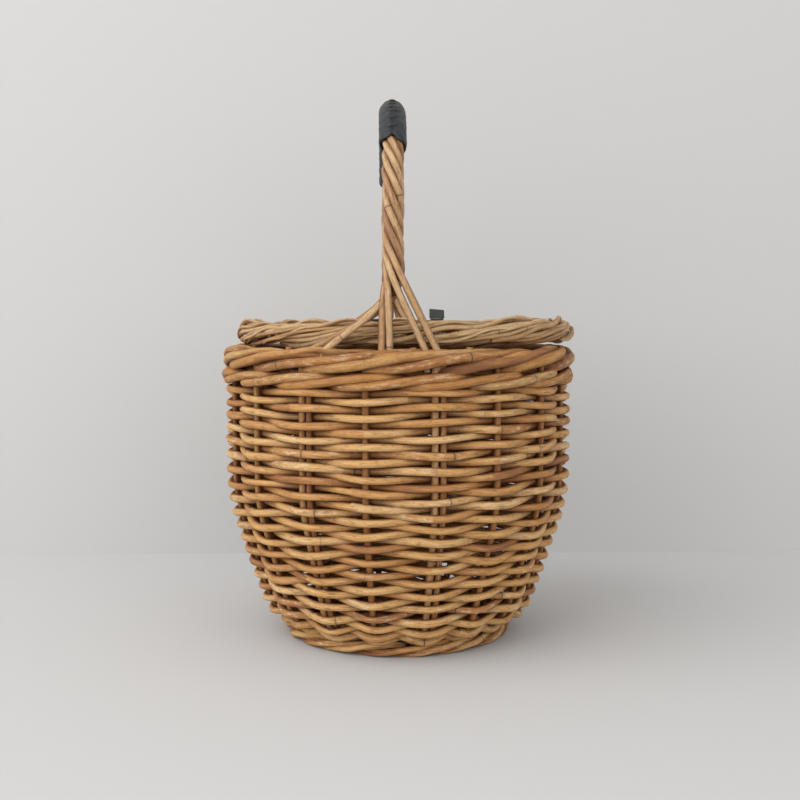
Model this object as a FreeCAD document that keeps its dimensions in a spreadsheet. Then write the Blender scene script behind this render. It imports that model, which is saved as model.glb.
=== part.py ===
"""Round wicker basket with a hinged lid and one twisted bow handle.

Millimetres, +Z up. The origin is the middle of the foot ring's resting plane. The handle's bow
stands parallel to the YZ plane, and the lid hinges on two leather straps on the +Y side.
"""

import FreeCAD
import Part
import math
import os

import Sketcher
from FreeCAD import Placement, Rotation, Vector

DRIVING_SIZES = [
    # the woven wall and base
    ("stake_pairs_x", 5),
    ("stake_pairs_y", 4),
    ("rod_dia", 5.0),
    ("stake_gap", 0.3),
    ("weave_thick", 15.4),
    ("wall_radius", 117.3),
    ("base_corner", 87.5),
    ("base_level", 12.0),
    ("belly_height", 103.8),
    ("corner_bend", 30.0),
    ("belly_bend", 100.0),
    ("base_rim", 64.5),
    ("base_eye", 22.5),
    ("stick_end", 60.0),
    ("stick_offset_deg", 8.0),
    ("stick_space", 0.4),
    ("stick_bend", 12.0),
    ("stake_root", 42.0),
    ("upsett_top", 24.0),
    ("border_top", 207.0),
    ("border_high", 16.0),
    ("wale_high", 10.0),
    ("layer_gap", 0.2),
    # the foot ring and the rim border
    ("foot_radius", 77.0),
    ("foot_wide", 11.0),
    ("foot_under", 0.3),
    ("foot_round_full", 1.4),
    ("border_wide", 16.4),
    ("border_round", 6.0),
    ("stake_tuck", 6.0),
    # the handle
    ("strand_dia", 4.4),
    ("strand_gap", 0.3),
    ("leg_reach", 2.2),
    ("shoulder_rise", 128.0),
    ("shoulder_bend", 64.0),
    ("crown_rise", 160.0),
    ("handle_shift", -4.5),
    ("crown_slope_deg", 27.4),
    ("crown_bend", 120.0),
    ("fan_rise", 33.0),
    ("fan_bend", 12.0),
    ("foot_clear", 4.5),
    ("foot_apart", 0.42),
    ("pair_apart", 0.36),
    ("middle_feet_deg", -4.05),
    ("foot_bend", 6.0),
    ("root_deep", 42.0),
    ("sleeve_wall", 1.6),
    ("sleeve_gap", 0.3),
    ("sleeve_start_deg", 36.0),
    ("stitch_pitch", 8.5),
    ("stitch_dia", 0.9),
    ("stitch_long", 4.2),
    # the lid
    ("lid_over_x", 1.7),
    ("lid_over_y", -7.8),
    ("lid_shift", 5.0),
    ("lid_rest_gap", 0.6),
    ("lid_border_high", 15.4),
    ("lid_border_wide", 15.0),
    ("lid_border_round", 5.0),
    ("lid_weave_thick", 12.4),
    ("lid_rod_dia", 4.0),
    ("lid_stick_pitch", 4.4),
    ("lid_eye", 19.5),
    # the hinge straps
    ("strap_right_deg", 16.34),
    ("strap_left_deg", -9.325),
    ("strap_wide", 10.0),
    ("strap_thick", 1.6),
    ("strap_gap", 0.3),
    ("strap_lap", 22.0),
    ("strap_drop", 14.0),
    ("strap_fold", 1.1),
    ("tab_high", 7.0),
]
# Sizes that follow from the ones above: the basket's height carries the handle, its radius the lid and the legs.
DERIVED_SIZES = [
    ("wale_top", "=border_top - border_high"),
    ("side_top", "=wale_top - wale_high"),
    ("leg_out", "=wall_radius + leg_reach"),
    ("handle_root", "=border_top - root_deep"),
    ("fan_top", "=border_top + fan_rise"),
    ("shoulder_height", "=border_top + shoulder_rise"),
    ("crown_height", "=border_top + crown_rise"),
    ("stick_pitch", "=rod_dia + stick_space"),
    ("foot_high", "=base_level - weave_thick / 2 - foot_under"),
    ("foot_round", "=min(foot_round_full; foot_high * 0.4)"),
    ("foot_beside", "=(rod_dia + strand_dia) / 2 + foot_apart"),
    ("strap_right_x", "=wall_radius * sin(strap_right_deg)"),
    ("strap_left_x", "=wall_radius * sin(strap_left_deg)"),
    ("lid_half_x", "=wall_radius + lid_over_x"),
    ("lid_half_y", "=wall_radius + lid_over_y"),
]
FAN_STRAND_DEG = [270.0, 330.0, 210.0, 150.0, 30.0, 90.0]
FAN_KNEE_DROPS = [0.0, 4.0, 0.0, 0.0, 0.0, 0.0]
PIPE_VOLUME_SLACK = 0.01

doc = FreeCAD.newDocument("wicker_basket")
sheet = doc.addObject("Spreadsheet::Sheet", "sizes")
for row, (alias, content) in enumerate(DRIVING_SIZES + DERIVED_SIZES, 1):
    sheet.set(f"A{row}", alias)
    sheet.set(f"B{row}", str(content))
    sheet.setAlias(f"B{row}", alias)
doc.recompute()
S = {alias: float(sheet.get(alias)) for alias, content in DRIVING_SIZES + DERIVED_SIZES}
nodes = []


# ---------------------------------------------------------------- shared shapes


def bent_path(corners, bends):
    """Wire through corners, with an arc of its own radius at each inner one."""
    edges = []
    last = corners[0]
    for before, corner, after, bend in zip(corners, corners[1:], corners[2:], bends):
        into = (corner - before).normalize()
        out = (after - corner).normalize()
        turn = into.getAngle(out)
        if turn < 1e-6:
            continue
        reach = bend * math.tan(turn / 2)
        start = corner - into * reach
        end = corner + out * reach
        inward = (out - into).normalize()
        middle = corner + inward * (bend / math.cos(turn / 2) - bend)
        if (start - last).Length > 1e-6:
            edges.append(Part.LineSegment(last, start).toShape())
        edges.append(Part.Arc(start, middle, end).toShape())
        last = end
    if (corners[-1] - last).Length > 1e-6:
        edges.append(Part.LineSegment(last, corners[-1]).toShape())
    return Part.Wire(edges)


def rod(corners, bends, radius):
    """Round rod along a bent path, checked against its section times its length."""
    path = bent_path(corners, bends)
    first = path.Edges[0]
    heading = first.tangentAt(first.FirstParameter)
    section = Part.Wire([Part.makeCircle(radius, corners[0], heading)])
    shape = path.makePipeShell([section], True, False)
    expected = math.pi * radius**2 * path.Length
    if abs(shape.Volume - expected) > PIPE_VOLUME_SLACK * expected:
        raise ValueError(f"rod of {path.Length:.1f} mm holds {shape.Volume:.1f} mm3, not {expected:.1f}")
    return shape


def turned(point, angle_deg):
    """The point turned about Z, counterclockwise from above."""
    return Rotation(Vector(0, 0, 1), angle_deg).multVec(point)


def feature(name, shape):
    """A Part::Feature that holds a shape built from the sheet's sizes."""
    made = doc.addObject("Part::Feature", name)
    made.Shape = shape
    made.Placement = Placement()
    return made


def node(made, label):
    """Marks a document object as one of the basket's pieces."""
    made.Label = label
    nodes.append(made)
    return made


def primitive(kind, name, place=None, **bindings):
    """A Part primitive whose properties are bound to the sheet."""
    made = doc.addObject(kind, name)
    for prop, expression in bindings.items():
        made.setExpression(prop, expression)
    for axis, expression in (place or {}).items():
        made.setExpression(f"Placement.Base.{axis}", expression)
    return made


def cut(name, base, tool):
    made = doc.addObject("Part::Cut", name)
    made.Base = base
    made.Tool = tool
    return made


def origin_item(body, role):
    return next(item for item in body.Origin.OriginFeatures if item.Role == role)


def new_sketch(body, name, plane="XZ_Plane"):
    sketch = body.newObject("Sketcher::SketchObject", name)
    sketch.AttachmentSupport = [(origin_item(body, plane), "")]
    sketch.MapMode = "FlatFace"
    return sketch


def polygon_sketch(body, name, points, plane="XZ_Plane"):
    """Closed polygon; each corner is held by two distances that are expressions on the sheet."""
    sketch = new_sketch(body, name, plane)
    places = [Vector(float(10 * i + 20), float(5 * (i % 3) + 5), 0) for i in range(len(points))]
    count = len(points)
    for i in range(count):
        sketch.addGeometry(Part.LineSegment(places[i], places[(i + 1) % count]), False)
    for i in range(count):
        sketch.addConstraint(Sketcher.Constraint("Coincident", i, 2, (i + 1) % count, 1))
    for i, (across, up) in enumerate(points):
        for kind, expression in (("DistanceX", across), ("DistanceY", up)):
            at = places[i].x if kind == "DistanceX" else places[i].y
            held = sketch.addConstraint(Sketcher.Constraint(kind, -1, 1, i, 1, at))
            sketch.setExpression(f"Constraints[{held}]", expression)
    return sketch


def revolved(name, points):
    """Body made by turning a polygon in the XZ plane about Z."""
    body = doc.addObject("PartDesign::Body", name)
    sketch = polygon_sketch(body, name + "_profile", points)
    turn = body.newObject("PartDesign::Revolution", name + "_turn")
    turn.Profile = sketch
    turn.ReferenceAxis = (sketch, ["V_Axis"])
    turn.Angle = 360
    doc.recompute()
    return body


def rounded(body, name, radius_expression, picks):
    """Fillet on the circular edges of the body's tip that lie nearest the picked (radius, height) points."""
    tip = body.Tip
    chosen = []
    for across, up in picks:
        near = min(
            range(len(tip.Shape.Edges)),
            key=lambda k: edge_distance(tip.Shape.Edges[k], across, up),
        )
        chosen.append(f"Edge{near + 1}")
    made = body.newObject("PartDesign::Fillet", name)
    made.Base = (tip, chosen)
    made.setExpression("Radius", radius_expression)
    doc.recompute()
    return made


def edge_distance(edge, across, up):
    """How far a full circle about Z is from a radius and a height; other edges are far."""
    if not isinstance(edge.Curve, Part.Circle):
        return 1e9
    return abs(edge.Curve.Radius - across) + abs(edge.Curve.Center.z - up)


# ---------------------------------------------------------------- stakes and sticks

stake_count = int(2 * (S["stake_pairs_x"] + S["stake_pairs_y"]))
stake_step = 360.0 / stake_count
rod_radius = S["rod_dia"] / 2
tunnel_radius = rod_radius + S["stake_gap"]
stake_top = S["wale_top"] + S["stake_tuck"]
stake_bends = [S["corner_bend"], S["belly_bend"]]
# Stakes sit half a step either side of the basket's YZ plane.
stake_angles = [90 + stake_step * (k + 0.5) for k in range(stake_count)]
# The handle's feet: a pair astride the second stake to the left, a pair near the middle, a pair astride the
# first stake to the right, in degrees from -Y.
beside_deg = math.degrees(S["foot_beside"] / S["wall_radius"])
half_pair_deg = math.degrees((S["strand_dia"] / 2 + S["pair_apart"]) / S["wall_radius"])
fan_feet_deg = [
    middle + side
    for middle, apart in (
        (-1.5 * stake_step, beside_deg), (S["middle_feet_deg"], half_pair_deg), (0.5 * stake_step, beside_deg)
    )
    for side in (-apart, apart)
]


def stake_corners(root, top):
    """A stake in the XZ plane: out along the base, up the sloping belly, then straight up."""
    return [
        Vector(root, 0, S["base_level"]),
        Vector(S["base_corner"], 0, S["base_level"]),
        Vector(S["wall_radius"], 0, S["belly_height"]),
        Vector(S["wall_radius"], 0, top),
    ]


def build_stakes():
    upright = rod(stake_corners(S["stake_root"], stake_top), stake_bends, rod_radius)
    for k, angle in enumerate(stake_angles, 1):
        stake = node(feature(f"side_stake_{k:02d}", upright), f"side_stake_{k:02d}")
        stake.Placement = Placement(Vector(), Rotation(Vector(0, 0, 1), angle))


def stick_routes(pitch, level_low, level_high, end_radius, offset_deg):
    """Routes of the crossed sticks: one group along Y below, one along X above, each fanning out to its rays."""
    routes = []
    for count, level, heading in (
        (int(S["stake_pairs_y"]), level_low, 90.0),
        (int(S["stake_pairs_x"]), level_high, 0.0),
    ):
        for k in range(count):
            ray = stake_step * (k - (count - 1) / 2)
            side = pitch * (k - (count - 1) / 2)
            knee = abs(side / math.tan(math.radians(ray))) if ray else end_radius(heading) / 4
            far_end = end_radius(heading + ray)
            back_end = end_radius(heading + 180 - ray)
            out = Vector(far_end, 0, 0)
            back = Vector(back_end, 0, 0)
            corners = [turned(back, 180 - ray), Vector(-knee, side, 0), Vector(knee, side, 0), turned(out, ray)]
            routes.append([turned(c, heading - offset_deg) + Vector(0, 0, level) for c in corners])
    return routes


def stick_rods(routes, radius):
    return [rod(route, [S["stick_bend"]] * 2, radius) for route in routes]


def stick_tunnels(routes, radius, eye, shift=0.0):
    """Tools for the straight holes that the sticks' ends run through, outside the open middle, which lies at
    shift along X."""
    tools = []
    for route in routes:
        for end, knee in ((route[0], route[1]), (route[3], route[2])):
            inward = (knee - end).normalize()
            length = math.hypot(end.x - shift, end.y) - eye + 1 + S["stake_gap"]
            tools.append(Part.makeCylinder(radius, length, end - inward * S["stake_gap"], inward))
    return tools


base_stick_routes = stick_routes(
    S["stick_pitch"],
    S["base_level"] - S["rod_dia"] / 2 - S["layer_gap"] / 2,
    S["base_level"] + S["rod_dia"] / 2 + S["layer_gap"] / 2,
    lambda heading: S["stick_end"],
    S["stick_offset_deg"],
)


def build_base_sticks():
    for k, shape in enumerate(stick_rods(base_stick_routes, rod_radius), 1):
        node(feature(f"base_stick_{k}", shape), f"base_stick_{k}")


# ---------------------------------------------------------------- handle

strand_radius = S["strand_dia"] / 2
strand_orbit = S["strand_dia"] + S["strand_gap"]
handle_tunnel = strand_radius + S["strand_gap"]


def arch_corners(out, side, knee_height):
    """Half of a strand above its fan, from the knee to the crown. out is how far the strand lies outside the
    bow's middle line, side how far along X from it."""
    slope = math.radians(S["crown_slope_deg"])
    x = S["handle_shift"] + side
    leg = S["leg_out"] + out
    shoulder = S["shoulder_height"] + out * (1 - math.sin(slope)) / math.cos(slope)
    crown = S["crown_height"] + out
    crown_out = leg - (crown - shoulder) / math.tan(slope)
    return [Vector(x, -leg, knee_height), Vector(x, -leg, shoulder), Vector(x, -crown_out, crown)]


def whole_route(near, bends):
    """Corners and bends of a whole strand: the far half mirrors the near half."""
    far = [Vector(c.x, -c.y, c.z) for c in reversed(near)]
    return near + far, bends + bends[::-1]


def arch_route(out):
    """The bow alone, between its two knees."""
    bends = [S["shoulder_bend"] + out, S["crown_bend"] + out]
    return whole_route(arch_corners(out, 0, S["fan_top"]), bends)


def strand_route(strand_deg, foot_deg, knee_drop):
    """A whole strand, with its feet in the wall."""
    out = strand_orbit * math.cos(math.radians(strand_deg))
    side = strand_orbit * math.sin(math.radians(strand_deg))
    foot = turned(Vector(0, -S["wall_radius"], 0), foot_deg)
    root = foot + Vector(0, 0, S["handle_root"])
    ankle = foot + Vector(0, 0, S["border_top"] + S["foot_clear"])
    near = [root, ankle] + arch_corners(out, side, S["fan_top"] - knee_drop)
    bends = [S["foot_bend"], S["fan_bend"], S["shoulder_bend"] + out, S["crown_bend"] + out]
    return whole_route(near, bends)


def build_handle():
    node(feature("handle_core_rod", rod(*arch_route(0), strand_radius)), "handle_core")
    for k, place in enumerate(zip(FAN_STRAND_DEG, fan_feet_deg, FAN_KNEE_DROPS), 1):
        strand = rod(*strand_route(*place), strand_radius)
        node(feature(f"handle_strand_{k}_rod", strand), f"handle_strand_{k}")


sleeve_bore = strand_orbit + strand_radius + S["sleeve_gap"]
sleeve_radius = sleeve_bore + S["sleeve_wall"]
shoulder_reach = S["shoulder_bend"] * math.tan(math.radians(90 - S["crown_slope_deg"]) / 2)
shoulder_centre = Vector(0, S["leg_out"] - S["shoulder_bend"], S["shoulder_height"] - shoulder_reach)


def build_sleeve():
    """Leather sleeve: a tube along the bow between the two shoulders, ended square to the bow."""
    tube = rod(*arch_route(0), sleeve_radius).cut(rod(*arch_route(0), sleeve_bore))
    ray = math.radians(S["sleeve_start_deg"])
    reach = 4 * sleeve_radius + S["shoulder_bend"]
    wide = 4 * sleeve_radius
    inner = shoulder_centre
    outer = inner + Vector(0, reach * math.cos(ray), reach * math.sin(ray))
    over = Vector(0, outer.y, S["crown_height"] + wide)
    half = [inner, outer, over]
    left = S["handle_shift"] - wide / 2
    outline = [Vector(left, c.y, c.z) for c in half]
    outline += [Vector(left, -c.y, c.z) for c in reversed(half)]
    slab = Part.Face(Part.makePolygon(outline + outline[:1])).extrude(Vector(wide, 0, 0))
    node(feature("handle_sleeve_tube", tube.common(slab)), "handle_sleeve")


def build_lacing():
    """Short stitches across the sleeve's seam, which runs along the outside of the bow."""
    out = sleeve_radius + S["stitch_dia"] / 2 + S["layer_gap"]
    line = bent_path(*arch_route(out))
    ray = math.radians(S["sleeve_start_deg"])
    start = shoulder_centre.z + (S["shoulder_bend"] + out) * math.sin(ray) + S["stitch_dia"]
    half_long = Vector(S["stitch_long"] / 2, 0, 0)
    stitches = [
        Part.makeCylinder(S["stitch_dia"] / 2, S["stitch_long"], spot - half_long, Vector(1, 0, 0))
        for spot in line.discretize(Distance=S["stitch_pitch"])
        if spot.z > start
    ]
    node(feature("sleeve_lacing_set", Part.makeCompound(stitches)), "sleeve_lacing")


# ---------------------------------------------------------------- woven base, wall and borders

TILT = "atan((sizes.wall_radius - sizes.base_corner) / (sizes.belly_height - sizes.base_level))"
HALF = "sizes.weave_thick / 2"


def wall_face(side):
    """Corner expressions of one face of the wall: side is + for the outside, - for the inside."""
    low = f"sizes.base_level {'-' if side == '+' else '+'} {HALF}"
    other = "-" if side == "+" else "+"
    return (
        low,
        f"sizes.base_corner {side} {HALF} * tan(45 deg - {TILT} / 2)",
        f"sizes.wall_radius {side} {HALF}",
        f"sizes.belly_height {other} {HALF} * tan({TILT} / 2)",
    )


def build_wall_blank():
    """The whole woven wall as one blank, which the bands are sliced from."""
    out_low, out_corner, out_wall, out_belly = wall_face("+")
    in_low, in_corner, in_wall, in_belly = wall_face("-")
    start = "sizes.base_rim + sizes.layer_gap"
    body = revolved(
        "wall_blank",
        [
            (start, out_low),
            (out_corner, out_low),
            (out_wall, out_belly),
            (out_wall, "sizes.wale_top"),
            (in_wall, "sizes.wale_top"),
            (in_wall, in_belly),
            (in_corner, in_low),
            (start, in_low),
        ],
    )
    half = S["weave_thick"] / 2
    tilt = math.atan((S["wall_radius"] - S["base_corner"]) / (S["belly_height"] - S["base_level"]))
    corner = half * math.tan(math.pi / 4 - tilt / 2)
    belly = half * math.tan(tilt / 2)
    for side, sign, word in (("outside", 1, "+"), ("inside", -1, "-")):
        bend = f"sizes.corner_bend {word} {HALF}"
        rounded(body, f"{side}_corner", bend, [(S["base_corner"] + sign * corner, S["base_level"] - sign * half)])
        bend = f"sizes.belly_bend {word} {HALF}"
        rounded(body, f"{side}_belly", bend, [(S["wall_radius"] + sign * half, S["belly_height"] - sign * belly)])
    return body


def stake_tunnels():
    """Tools for the holes that the stakes run through."""
    root = S["stake_root"] - S["stake_gap"]
    tool = rod(stake_corners(root, stake_top + S["layer_gap"]), stake_bends, tunnel_radius)
    tools = []
    for angle in stake_angles:
        copy = tool.copy()
        copy.rotate(Vector(), Vector(0, 0, 1), angle)
        tools.append(copy)
    return tools


def handle_tunnels():
    """Tools for the upright holes that the handle's strands are pushed into."""
    high = S["border_top"] - S["handle_root"] + 1 + S["layer_gap"]
    tools = []
    for foot_deg in fan_feet_deg:
        for mirror in (1, -1):
            foot = turned(Vector(0, -S["wall_radius"], 0), foot_deg)
            base = Vector(foot.x, mirror * foot.y, S["handle_root"] - S["layer_gap"])
            tools.append(Part.makeCylinder(handle_tunnel, high, base, Vector(0, 0, 1)))
    return tools


def build_wall():
    blank = build_wall_blank()
    stakes = feature("stake_tunnels", Part.makeCompound(stake_tunnels()))
    feet = feature("handle_tunnels", Part.makeCompound(handle_tunnels()))
    bands = [
        ("upsett_wale", "0", "sizes.upsett_top", False),
        ("side_weave", "sizes.upsett_top + sizes.layer_gap", "sizes.side_top", True),
        ("top_wale", "sizes.side_top + sizes.layer_gap", "sizes.wale_top", True),
    ]
    for name, low, high, holds_handle in bands:
        slab = primitive(
            "Part::Cylinder",
            name + "_slab",
            {"z": low},
            Radius="sizes.wall_radius + sizes.weave_thick",
            Height=f"{high} - ({low})",
        )
        band = doc.addObject("Part::Common", name + "_band")
        band.Base = blank
        band.Tool = slab
        pierced = cut(name + "_pierced", band, stakes)
        if holds_handle:
            pierced = cut(name + "_footed", pierced, feet)
        node(pierced, name)
    build_base_weave(stakes)
    build_rim_border(stakes, feet)


def build_base_weave(stakes):
    level = f"sizes.base_level {{}} {HALF}"
    body = revolved(
        "base_weave_body",
        [
            ("sizes.base_eye", level.format("-")),
            ("sizes.base_rim", level.format("-")),
            ("sizes.base_rim", level.format("+")),
            ("sizes.base_eye", level.format("+")),
        ],
    )
    holes = stick_tunnels(base_stick_routes, tunnel_radius, S["base_eye"])
    sticks = feature("stick_tunnels", Part.makeCompound(holes))
    node(cut("base_weave_pierced", cut("base_weave_staked", body, stakes), sticks), "base_weave")


def build_rim_border(stakes, feet):
    inner = "sizes.wall_radius - sizes.border_wide / 2"
    outer = "sizes.wall_radius + sizes.border_wide / 2"
    low = "sizes.wale_top + sizes.layer_gap"
    body = revolved(
        "rim_border_body",
        [(inner, low), (outer, low), (outer, "sizes.border_top"), (inner, "sizes.border_top")],
    )
    half = S["border_wide"] / 2
    picks = [(S["wall_radius"] + half, S["border_top"]), (S["wall_radius"] - half, S["border_top"])]
    rounded(body, "border_rounding", "sizes.border_round", picks)
    node(cut("rim_border_pierced", cut("rim_border_staked", body, stakes), feet), "rim_border")


def build_foot():
    inner = "sizes.foot_radius - sizes.foot_wide / 2"
    outer = "sizes.foot_radius + sizes.foot_wide / 2"
    body = revolved("foot_ring", [(inner, "0"), (outer, "0"), (outer, "sizes.foot_high"), (inner, "sizes.foot_high")])
    half = S["foot_wide"] / 2
    picks = [
        (S["foot_radius"] + sign * half, level) for sign in (1, -1) for level in (0, S["foot_high"])
    ]
    rounded(body, "foot_rounding", "sizes.foot_round", picks)
    node(body, "foot_border")


# ---------------------------------------------------------------- lid

lid_bottom = S["border_top"] + S["lid_rest_gap"]
lid_middle = lid_bottom + S["lid_border_high"] / 2


def oval_pad(name, inset, height_expression, base_expression):
    """Body: an oval disc of the lid's outline, inset all round."""
    body = doc.addObject("PartDesign::Body", name)
    sketch = new_sketch(body, name + "_outline", "XY_Plane")
    sketch.addGeometry(Part.Ellipse(Vector(60, 0, 0), Vector(0, 50, 0), Vector(0, 0, 0)), False)
    sketch.exposeInternalGeometry(0)
    sketch.addConstraint(Sketcher.Constraint("Coincident", 0, 3, -1, 1))
    sketch.addConstraint(Sketcher.Constraint("PointOnObject", 1, 1, -1))
    long_axis = sketch.addConstraint(Sketcher.Constraint("Distance", 1, 120.0))
    sketch.setExpression(f"Constraints[{long_axis}]", f"2 * (sizes.lid_half_x - ({inset}))")
    short_axis = sketch.addConstraint(Sketcher.Constraint("Distance", 2, 100.0))
    sketch.setExpression(f"Constraints[{short_axis}]", f"2 * (sizes.lid_half_y - ({inset}))")
    pad = body.newObject("PartDesign::Pad", name + "_pad")
    pad.Profile = sketch
    pad.setExpression("Length", height_expression)
    body.setExpression("Placement.Base.x", "sizes.lid_shift")
    body.setExpression("Placement.Base.z", base_expression)
    doc.recompute()
    return body


def lid_radius(heading, inset):
    """Distance from the lid's middle to its outline, inset, at a heading from +X."""
    along_x = S["lid_half_x"] - inset
    along_y = S["lid_half_y"] - inset
    a = math.radians(heading)
    return 1 / math.sqrt((math.cos(a) / along_x) ** 2 + (math.sin(a) / along_y) ** 2)


def build_lid():
    low = "sizes.border_top + sizes.lid_rest_gap"
    whole = oval_pad("lid_border_blank", "0", "sizes.lid_border_high", low)
    pad = whole.Tip
    outline_edges = [f"Edge{k + 1}" for k, edge in enumerate(pad.Shape.Edges) if edge.isClosed()]
    rounding = whole.newObject("PartDesign::Fillet", "lid_border_rounding")
    rounding.Base = (pad, outline_edges)
    rounding.setExpression("Radius", "sizes.lid_border_round")
    hole = oval_pad("lid_border_hole", "sizes.lid_border_wide", "sizes.lid_border_high + 2", low + " - 1")
    node(cut("lid_border_ring", whole, hole), "lid_border")

    inset = "sizes.lid_border_wide + sizes.strap_gap"
    weave_low = low + " + (sizes.lid_border_high - sizes.lid_weave_thick) / 2"
    weave = oval_pad("lid_weave_disc", inset, "sizes.lid_weave_thick", weave_low)
    eye = primitive(
        "Part::Cylinder", "lid_eye_hole", {"x": "sizes.lid_shift", "z": weave_low + " - 1"},
        Radius="sizes.lid_eye", Height="sizes.lid_weave_thick + 2",
    )
    rod_size = S["lid_rod_dia"]
    end_inset = S["lid_border_wide"] + rod_size
    routes = stick_routes(
        S["lid_stick_pitch"],
        lid_middle - rod_size / 2 - S["layer_gap"] / 2,
        lid_middle + rod_size / 2 + S["layer_gap"] / 2,
        lambda heading: lid_radius(heading, end_inset),
        0,
    )
    routes = [[corner + Vector(S["lid_shift"], 0, 0) for corner in route] for route in routes]
    holes = stick_tunnels(routes, rod_size / 2 + S["stake_gap"], S["lid_eye"], S["lid_shift"])
    tunnels = feature("lid_tunnels", Part.makeCompound(holes))
    node(cut("lid_weave_pierced", cut("lid_weave_eyed", weave, eye), tunnels), "lid_weave")
    for k, shape in enumerate(stick_rods(routes, rod_size / 2), 1):
        node(feature(f"lid_stick_{k}_rod", shape), f"lid_stick_{k}")


# ---------------------------------------------------------------- hinge straps


def build_straps():
    """Two straps, each with a half on the rim and a half on the lid that meet at the hinge line. The right
    one ends in a standing tab."""
    gap = S["strap_gap"]
    wide = S["strap_wide"]
    thick = S["strap_thick"]
    middles = {"right": S["strap_right_x"], "left": S["strap_left_x"]}
    inner_edge = min(abs(middle - S["lid_shift"]) for middle in middles.values()) - wide / 2
    lid_edge = S["lid_half_y"] * math.sqrt(1 - (inner_edge / S["lid_half_x"]) ** 2)
    rise_in = lid_edge + gap
    tab_at = lid_edge - S["strap_lap"] / 2
    low = lid_bottom + S["lid_border_high"] + gap
    high = low + thick
    shelf_low = S["border_top"] + gap
    for word, middle in middles.items():
        lying = box_between(middle, wide, lid_edge - S["strap_lap"], rise_in - S["strap_fold"], low, high)
        if word == "right":
            tab = box_between(middle, wide, tab_at, tab_at + thick, high, low + S["tab_high"])
            lying = lying.fuse(tab).removeSplitter()
        node(feature(f"strap_lid_{word}", lying), f"hinge_strap_lid_{word}")
        border_outer = S["wall_radius"] + S["border_wide"] / 2
        rim_out = math.sqrt(border_outer**2 - (abs(middle) - wide / 2) ** 2) + gap
        rise = box_between(middle, wide, rise_in, rise_in + thick, shelf_low, high)
        shelf = box_between(middle, wide, rise_in, rim_out + thick, shelf_low, shelf_low + thick)
        drop = box_between(
            middle, wide, rim_out, rim_out + thick, S["border_top"] - S["strap_drop"], shelf_low + thick
        )
        rim_part = rise.fuse([shelf, drop]).removeSplitter()
        node(feature(f"strap_rim_{word}", rim_part), f"hinge_strap_rim_{word}")


def box_between(middle, wide, y_low, y_high, z_low, z_high):
    return Part.makeBox(wide, y_high - y_low, z_high - z_low, Vector(middle - wide / 2, y_low, z_low))


# ---------------------------------------------------------------- the whole basket


def check(made):
    if "Invalid" in made.State or "Error" in made.State:
        raise ValueError(f"{made.Name} did not recompute: {made.State}")


build_base_sticks()
build_stakes()
build_foot()
build_wall()
build_handle()
build_sleeve()
build_lacing()
build_lid()
build_straps()
doc.recompute()

for made in doc.Objects:
    check(made)
os.makedirs("parts", exist_ok=True)
for made in nodes:
    if made.Shape.isNull() or not made.Shape.isValid():
        raise ValueError(f"{made.Label} has no valid shape")
    made.Shape.exportStep(f"parts/{made.Label}.step")
    size = made.Shape.BoundBox
    print(
        f"{made.Label:22s} {len(made.Shape.Solids):3d} solids {made.Shape.Volume:12.1f} mm3  "
        f"x {size.XMin:7.1f} {size.XMax:7.1f}  y {size.YMin:7.1f} {size.YMax:7.1f}  z {size.ZMin:6.1f} {size.ZMax:6.1f}"
    )
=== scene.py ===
import math

import bpy
import numpy as np
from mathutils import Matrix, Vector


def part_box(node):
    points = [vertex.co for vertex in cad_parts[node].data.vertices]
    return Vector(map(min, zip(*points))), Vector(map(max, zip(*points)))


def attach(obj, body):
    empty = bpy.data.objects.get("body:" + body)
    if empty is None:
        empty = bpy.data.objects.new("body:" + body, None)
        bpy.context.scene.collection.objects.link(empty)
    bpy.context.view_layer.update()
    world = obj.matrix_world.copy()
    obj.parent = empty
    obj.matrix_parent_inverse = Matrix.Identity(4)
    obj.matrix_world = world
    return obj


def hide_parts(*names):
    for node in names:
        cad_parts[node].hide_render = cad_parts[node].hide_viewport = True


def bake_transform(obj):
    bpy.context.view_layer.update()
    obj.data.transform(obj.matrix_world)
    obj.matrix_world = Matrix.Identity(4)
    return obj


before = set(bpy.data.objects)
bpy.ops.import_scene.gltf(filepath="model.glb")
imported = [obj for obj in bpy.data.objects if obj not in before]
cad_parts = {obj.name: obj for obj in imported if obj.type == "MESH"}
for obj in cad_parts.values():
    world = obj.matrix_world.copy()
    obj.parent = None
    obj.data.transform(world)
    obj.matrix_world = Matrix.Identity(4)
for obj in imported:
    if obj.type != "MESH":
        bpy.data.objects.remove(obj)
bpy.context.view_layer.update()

# ---- Base sticks
# Nine peeled wicker rods cross in two groups in the middle of the base and fan out to eighteen rays.
# Every other rod of the basket is bent like these: round, tapered, with a thin dark ring at each node.

ROD = 0.0028
STICK = 0.0025
BASE_LEVEL = 0.012
WALL_RADIUS = 0.1173
RAY_STEP = math.radians(20)
STAKE_AT = math.radians(-10)
STICK_REACH = 0.060
STICK_BESIDE = math.radians(8)
NODE_SPACING = 0.097
chance = np.random.default_rng(27)


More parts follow.
